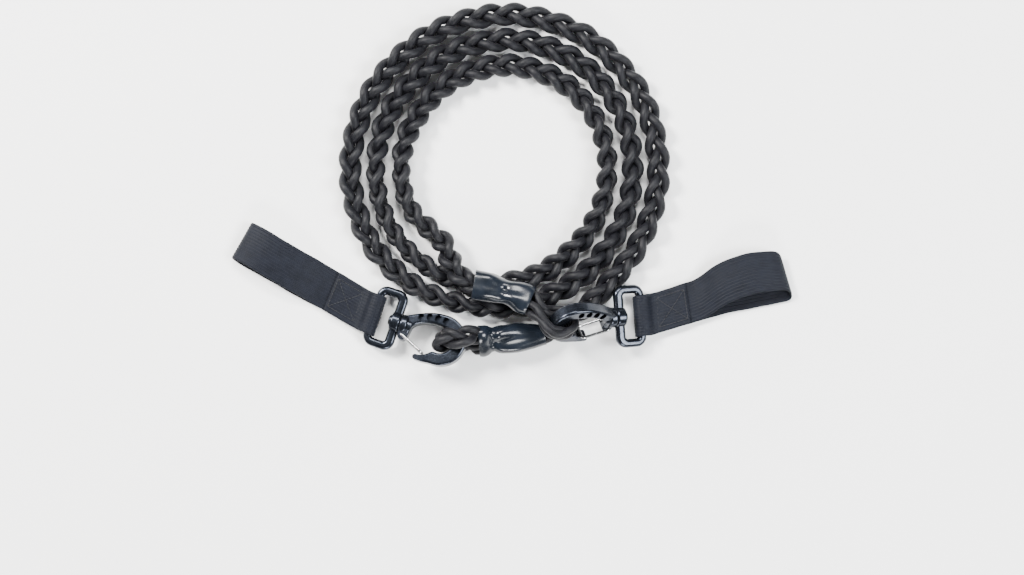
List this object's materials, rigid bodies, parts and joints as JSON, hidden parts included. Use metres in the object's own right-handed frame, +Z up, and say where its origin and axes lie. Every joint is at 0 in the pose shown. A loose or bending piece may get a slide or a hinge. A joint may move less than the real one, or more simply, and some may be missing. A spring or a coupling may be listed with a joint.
{
  "type": "plaited elastic training leash",
  "caption": "Training leash laid in a coil: a plait of elastic cords, with a swivel snap hook and a flat webbing handle loop at each end.",
  "frame": {"origin": "on the floor, midway between the far ends of the two handles and midway across the hooks and handles", "axes": "+X from handle a towards handle b, +Y from the hooks towards the middle of the coil, +Z up"},
  "size_m": [0.337, 0.2218, 0.0355],
  "materials": {
    "cord_cover": "woven",
    "sleeve_rubber": "satin",
    "hook_black": "gloss",
    "wire_bright": "polished",
    "webbing_black": "ribbed weave",
    "thread_black": "matte"
  },
  "bodies": {
    "leash": {"braid_coil": "cord_cover", "braid_tail_a": "cord_cover", "braid_tail_b": "cord_cover", "braid_eye_a": "cord_cover", "braid_eye_b": "cord_cover", "eye_binding_a": "cord_cover", "eye_binding_b": "cord_cover", "shrink_sleeve_a": "sleeve_rubber", "shrink_sleeve_b": "sleeve_rubber"},
    "hook_a": {"hook_body_a": "hook_black", "swivel_pin_a": "hook_black"},
    "hook_b": {"hook_body_b": "hook_black", "swivel_pin_b": "hook_black"},
    "gate_a": {"gate_wire_a": "wire_bright"},
    "gate_b": {"gate_wire_b": "wire_bright"},
    "ring_a": {"webbing_ring_a": "hook_black"},
    "ring_b": {"webbing_ring_b": "hook_black"},
    "handle_a": {"handle_webbing_a": "webbing_black", "handle_stitching_a": "thread_black"},
    "handle_b": {"handle_webbing_b": "webbing_black", "handle_stitching_b": "thread_black"}
  },
  "joints": [
    {"name": "hook_swing_a", "type": "hinge", "parent": "leash", "child": "hook_a", "pos_m": [-0.0426, -0.0298, 0.0127], "axis": [0, 0, 1], "range_deg": [0, 20]},
    {"name": "hook_swing_b", "type": "hinge", "parent": "leash", "child": "hook_b", "pos_m": [0.02667, -0.01892, 0.02548], "axis": [0, 0, 1], "range_deg": [-8, 0]},
    {"name": "gate_a_open", "type": "hinge", "parent": "hook_a", "child": "gate_a", "pos_m": [-0.06647, -0.02627, 0.00965], "axis": [-0.0923, 0.2154, 0.9721], "range_deg": [0, 28], "stiffness_Nm_per_rad": 0.02, "springref_deg": -5.73},
    {"name": "gate_b_open", "type": "hinge", "parent": "hook_b", "child": "gate_b", "pos_m": [0.05839, -0.01959, 0.0083], "axis": [-0.278, 0.7916, -0.5442], "range_deg": [0, 28], "stiffness_Nm_per_rad": 0.02, "springref_deg": -5.73},
    {"name": "ring_swivel_a", "type": "hinge", "parent": "hook_a", "child": "ring_a", "pos_m": [-0.07705, -0.01586, 0.00634], "axis": [-0.9334, 0.3214, -0.1599], "continuous": true},
    {"name": "ring_swivel_b", "type": "hinge", "parent": "hook_b", "child": "ring_b", "pos_m": [0.0728, -0.01475, 0.00797], "axis": [0.9236, 0.0646, -0.3778], "continuous": true},
    {"name": "handle_hinge_a", "type": "hinge", "parent": "ring_a", "child": "handle_a", "pos_m": [-0.08358, -0.01361, 0.00522], "axis": [0.3256, 0.9455, 0], "range_deg": [-100, 100]},
    {"name": "handle_hinge_b", "type": "hinge", "parent": "ring_b", "child": "handle_b", "pos_m": [0.07927, -0.0143, 0.00533], "axis": [-0.0698, 0.9976, 0], "range_deg": [-100, 100]}
  ]
}
